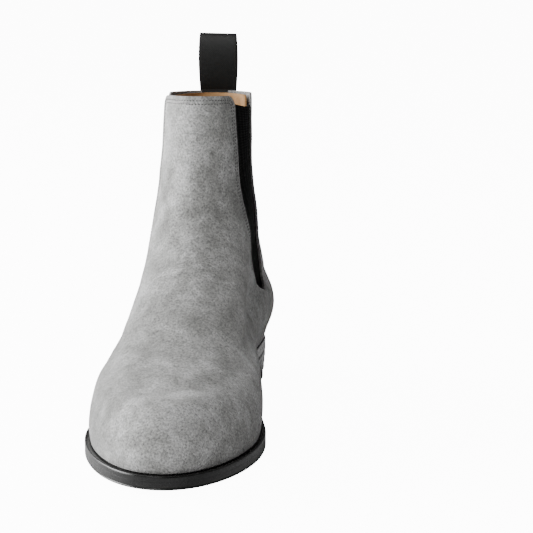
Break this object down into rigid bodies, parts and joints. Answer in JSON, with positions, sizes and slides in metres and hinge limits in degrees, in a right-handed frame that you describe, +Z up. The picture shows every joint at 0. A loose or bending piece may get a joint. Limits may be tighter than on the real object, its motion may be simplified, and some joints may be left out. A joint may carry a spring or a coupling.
{
  "type": "chelsea boot",
  "caption": "Ankle-high suede Chelsea boot for a right foot: elastic side gores, webbing pull tab at the back, leather lining, welted sole and low stacked heel.",
  "frame": {"origin": "on the ground, under the middle of the boot's length and width", "axes": "+Z up, toe towards -Y, heel towards +Y, +X towards the inner (medial) side of the foot"},
  "size_m": [0.0982, 0.289, 0.2111],
  "materials": {
    "suede": "napped suede, mid grey",
    "elastic": "ribbed elastic webbing, black",
    "webbing": "satin woven webbing, black",
    "lining": "smooth tan lining leather",
    "stiffener": "pressed fibre stiffener",
    "board": "insole board",
    "sock": "smooth tan sock leather",
    "foam": "open-cell foam",
    "steel": "plain steel",
    "cork": "ground cork",
    "edge": "black waxed edge",
    "leather": "black dyed sole leather, burnished edge",
    "rubber": "black rubber"
  },
  "bodies": {
    "boot": {"vamp": "suede", "back_quarter": "suede", "gore_medial": "elastic", "gore_lateral": "elastic", "vamp_lining": "lining", "quarter_lining": "lining", "toe_puff": "stiffener", "heel_counter": "stiffener", "pull_tab_end": "webbing", "insole_board": "board", "heel_pad": "foam", "sock_liner": "sock", "shank": "steel", "cork_filler": "cork", "welt": "edge", "heel_rand": "edge", "outsole": "leather", "heel_lift_1": "leather", "heel_lift_2": "leather", "heel_lift_3": "leather", "heel_top_piece": "rubber", "heel_nail_1": "steel", "heel_nail_2": "steel", "heel_nail_3": "steel", "heel_nail_4": "steel", "heel_nail_5": "steel"},
    "shaft_front_panel": {"shaft_front": "suede", "shaft_front_lining": "lining"},
    "pull_tab_loop": {"pull_tab": "webbing"}
  },
  "joints": [
    {"name": "shaft_open", "type": "hinge", "parent": "boot", "child": "shaft_front_panel", "pos_m": [0.0042, -0.0075, 0.0857], "axis": [1, 0, 0], "range_deg": [0, 12], "stiffness_Nm_per_rad": 4, "deforming": ["gore_medial", "gore_lateral"]},
    {"name": "pull_tab_fold", "type": "hinge", "parent": "boot", "child": "pull_tab_loop", "pos_m": [0.0042, 0.1352, 0.1773], "axis": [1, 0, 0], "range_deg": [-90, 75], "stiffness_Nm_per_rad": 0.02}
  ]
}
